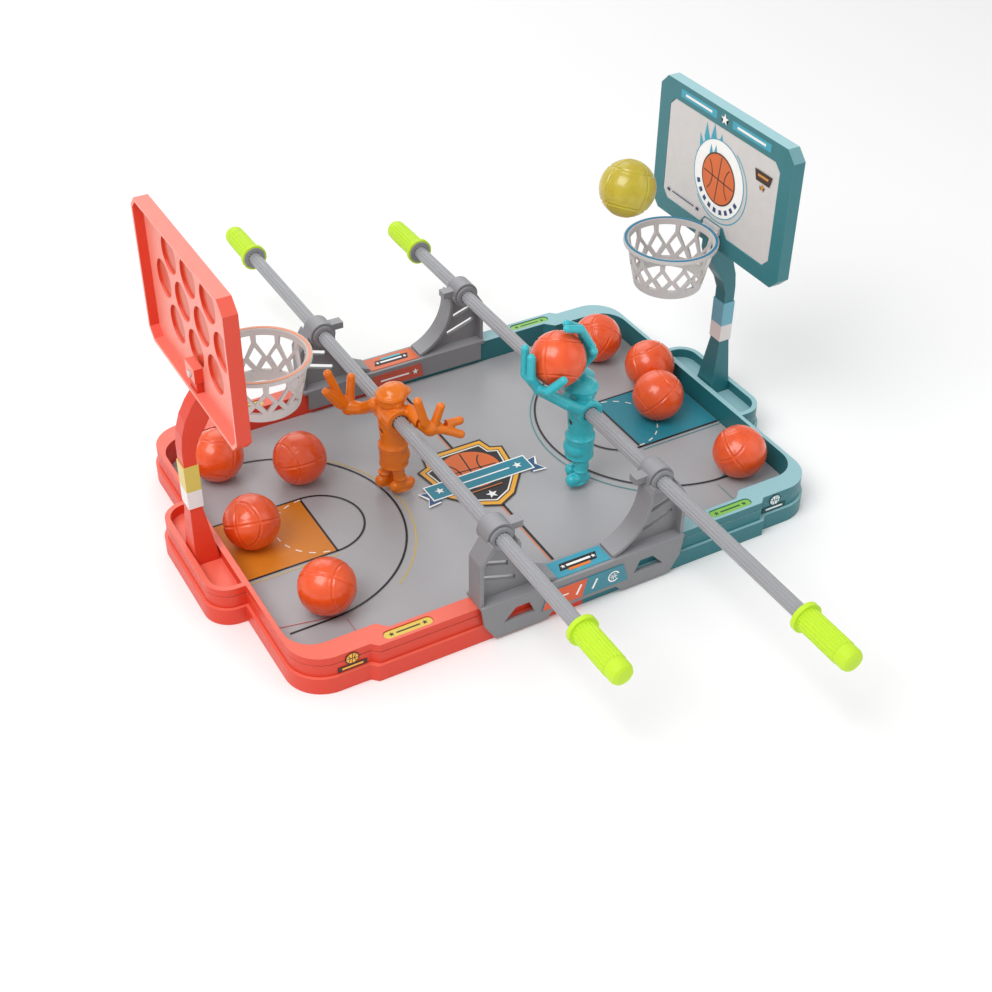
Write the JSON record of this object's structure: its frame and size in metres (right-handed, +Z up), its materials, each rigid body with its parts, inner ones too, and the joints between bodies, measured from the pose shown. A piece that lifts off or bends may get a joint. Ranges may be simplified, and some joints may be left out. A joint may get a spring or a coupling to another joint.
{
  "type": "tabletop basketball game",
  "caption": "Tabletop two-player basketball game: tray with a printed court, rods that slide and spin carrying throwing figures, and a hoop on a backboard at each end.",
  "frame": {"origin": "on the table under the middle of the tray, at the seam between its two halves", "axes": "+X along the long side towards the teal half, +Y along the rods towards the rear player, +Z up"},
  "size_m": [0.4012, 0.5714, 0.226],
  "materials": {
    "red_plastic": "satin moulded plastic",
    "teal_plastic": "satin moulded plastic",
    "printed_sheet": "printed plastic sheet",
    "printed_label": "printed film",
    "grey_plastic": "grained moulded plastic",
    "rod_plastic": "smooth moulded plastic",
    "lime_plastic": "ribbed moulded plastic",
    "orange_plastic": "smooth moulded plastic",
    "cyan_plastic": "smooth moulded plastic",
    "screw_steel": "zinc plated",
    "net_plastic": "matt moulded plastic",
    "board_red_plastic": "satin moulded plastic",
    "board_teal_plastic": "satin moulded plastic",
    "ball_orange": "glossy moulded plastic",
    "ball_yellow": "glossy moulded plastic"
  },
  "bodies": {
    "frame": {"tray_red": "red_plastic", "backboard_red": "board_red_plastic", "panel_red": "printed_label", "pill_red_front": "printed_label", "pill_red_rear": "printed_label", "tray_teal": "teal_plastic", "backboard_teal": "board_teal_plastic", "panel_teal": "printed_label", "pill_teal_front": "printed_label", "pill_teal_rear": "printed_label", "playing_surface": "printed_sheet", "bridge_front": "grey_plastic", "top_label_front": "printed_label", "side_label_front": "printed_label", "inner_label_front": "printed_label", "bridge_rear": "grey_plastic", "top_label_rear": "printed_label", "side_label_rear": "printed_label", "inner_label_rear": "printed_label", "hoop_left": "net_plastic", "hoop_stripe_left": "printed_label", "post_left": "red_plastic", "post_band_white_left": "printed_label", "post_band_colour_left": "printed_label", "rod_cap_left_front": "grey_plastic", "rod_cap_left_rear": "grey_plastic", "hoop_right": "net_plastic", "hoop_stripe_right": "printed_label", "post_right": "teal_plastic", "post_band_white_right": "printed_label", "post_band_colour_right": "printed_label", "rod_cap_right_front": "grey_plastic", "rod_cap_right_rear": "grey_plastic"},
    "bushes_left": {"bush_left_front": "orange_plastic", "bush_left_rear": "orange_plastic"},
    "player_left": {"rod_left": "rod_plastic", "grip_left_front": "lime_plastic", "grip_left_rear": "lime_plastic", "figure_orange": "orange_plastic", "figure_orange_screw": "screw_steel"},
    "bushes_right": {"bush_right_front": "orange_plastic", "bush_right_rear": "orange_plastic"},
    "player_right": {"rod_right": "rod_plastic", "grip_right_front": "lime_plastic", "grip_right_rear": "lime_plastic", "figure_cyan": "cyan_plastic", "figure_cyan_screw": "screw_steel"},
    "loose_ball_red_rear": {"ball_red_rear": "ball_orange"},
    "loose_ball_red_inner": {"ball_red_inner": "ball_orange"},
    "loose_ball_red_middle": {"ball_red_middle": "ball_orange"},
    "loose_ball_red_front": {"ball_red_front": "ball_orange"},
    "loose_ball_teal_rear": {"ball_teal_rear": "ball_orange"},
    "loose_ball_teal_outer": {"ball_teal_outer": "ball_orange"},
    "loose_ball_teal_middle": {"ball_teal_middle": "ball_orange"},
    "loose_ball_teal_front": {"ball_teal_front": "ball_orange"},
    "loose_ball_held": {"ball_held": "ball_orange"},
    "loose_ball_yellow": {"ball_yellow": "ball_yellow"}
  },
  "joints": [
    {"name": "spin_left", "type": "hinge", "parent": "frame", "child": "bushes_left", "pos_m": [-0.0541, 0, 0.07], "axis": [0, 1, 0], "continuous": true},
    {"name": "slide_left", "type": "slide", "parent": "bushes_left", "child": "player_left", "axis": [0, 1, 0], "range_m": [-0.0788, 0.0572]},
    {"name": "spin_right", "type": "hinge", "parent": "frame", "child": "bushes_right", "pos_m": [0.0541, 0, 0.07], "axis": [0, 1, 0], "range_deg": [-120, 135]},
    {"name": "slide_right", "type": "slide", "parent": "bushes_right", "child": "player_right", "axis": [0, 1, 0], "range_m": [-0.0302, 0.1058]},
    {"name": "lift_ball_red_rear", "type": "slide", "parent": "frame", "child": "loose_ball_red_rear", "axis": [0, 0, 1], "range_m": [0, 0.03]},
    {"name": "lift_ball_red_inner", "type": "slide", "parent": "frame", "child": "loose_ball_red_inner", "axis": [-0.85, -0.1, 0.5172], "range_m": [0, 0.03]},
    {"name": "lift_ball_red_middle", "type": "slide", "parent": "frame", "child": "loose_ball_red_middle", "axis": [0, 0, 1], "range_m": [0, 0.03]},
    {"name": "lift_ball_red_front", "type": "slide", "parent": "frame", "child": "loose_ball_red_front", "axis": [0, 0, 1], "range_m": [0, 0.03]},
    {"name": "lift_ball_teal_rear", "type": "slide", "parent": "frame", "child": "loose_ball_teal_rear", "axis": [0, 0, 1], "range_m": [0, 0.03]},
    {"name": "lift_ball_teal_outer", "type": "slide", "parent": "frame", "child": "loose_ball_teal_outer", "axis": [0, 0, 1], "range_m": [0, 0.03]},
    {"name": "lift_ball_teal_middle", "type": "slide", "parent": "frame", "child": "loose_ball_teal_middle", "axis": [0, 0, 1], "range_m": [0, 0.03]},
    {"name": "lift_ball_teal_front", "type": "slide", "parent": "frame", "child": "loose_ball_teal_front", "axis": [0, 0, 1], "range_m": [0, 0.03]},
    {"name": "release_ball_held", "type": "slide", "parent": "player_right", "child": "loose_ball_held", "axis": [0, 1, 0], "range_m": [0, 0.024]},
    {"name": "flight_ball_yellow", "type": "slide", "parent": "frame", "child": "loose_ball_yellow", "axis": [0.6393, 0.0795, -0.7649], "range_m": [0, 0.0629]}
  ]
}
